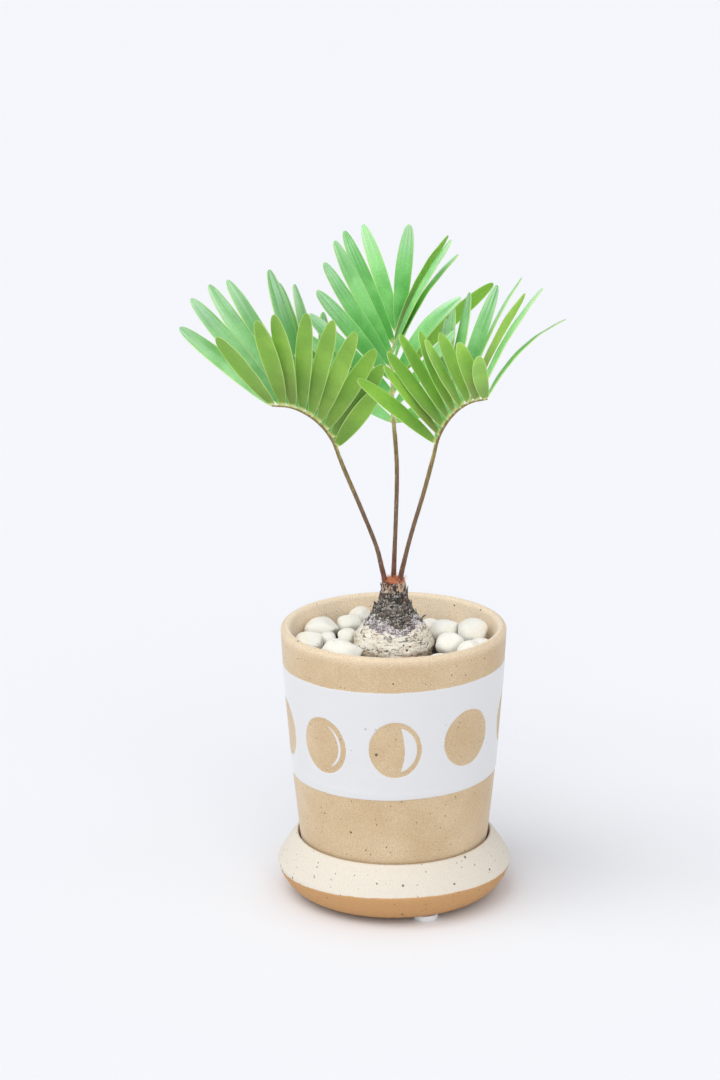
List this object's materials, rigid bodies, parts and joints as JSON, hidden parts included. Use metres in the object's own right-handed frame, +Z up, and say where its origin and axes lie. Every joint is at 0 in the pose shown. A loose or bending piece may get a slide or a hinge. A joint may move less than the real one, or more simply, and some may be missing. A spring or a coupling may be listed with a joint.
{
  "type": "potted zamia",
  "caption": "Small potted zamia: feathered fronds on a swollen scaly stem, white pebbles on the soil, a tapered speckled pot with a white glazed band, and a round saucer on soft pads.",
  "frame": {"origin": "middle of the whole plant's box on the surface it stands on, at the height of the pads' undersides", "axes": "+Z up; -Y is the side of the pot that the picture shows, +X to the picture's right"},
  "size_m": [0.1862, 0.1352, 0.3318],
  "materials": {
    "stoneware": "matte, speckled, with a glazed white band",
    "saucer_stoneware": "matte, speckled",
    "pad": "smooth, white",
    "soil": "crumbly",
    "bark": "papery and scaly",
    "petiole": "satin",
    "leaf": "glossy upper side",
    "pebble": "tumbled matte"
  },
  "bodies": {
    "root": {"caudex": "bark", "foot_pad_1": "pad", "foot_pad_2": "pad", "foot_pad_3": "pad", "frond_left": "leaf", "frond_middle": "leaf", "frond_right": "leaf", "pebble_01": "pebble", "pebble_02": "pebble", "pebble_03": "pebble", "pebble_04": "pebble", "pebble_05": "pebble", "pebble_06": "pebble", "pebble_07": "pebble", "pebble_08": "pebble", "pebble_09": "pebble", "pebble_10": "pebble", "pebble_11": "pebble", "pebble_12": "pebble", "pebble_13": "pebble", "pebble_14": "pebble", "pebble_15": "pebble", "pebble_16": "pebble", "pebble_17": "pebble", "pebble_18": "pebble", "pebble_19": "pebble", "pebble_20": "pebble", "pebble_21": "pebble", "pebble_22": "pebble", "pebble_23": "pebble", "pebble_24": "pebble", "pebble_25": "pebble", "petiole_left": "petiole", "petiole_middle": "petiole", "petiole_right": "petiole", "pot": "stoneware", "saucer": "saucer_stoneware", "soil": "soil"}
  },
  "joints": []
}
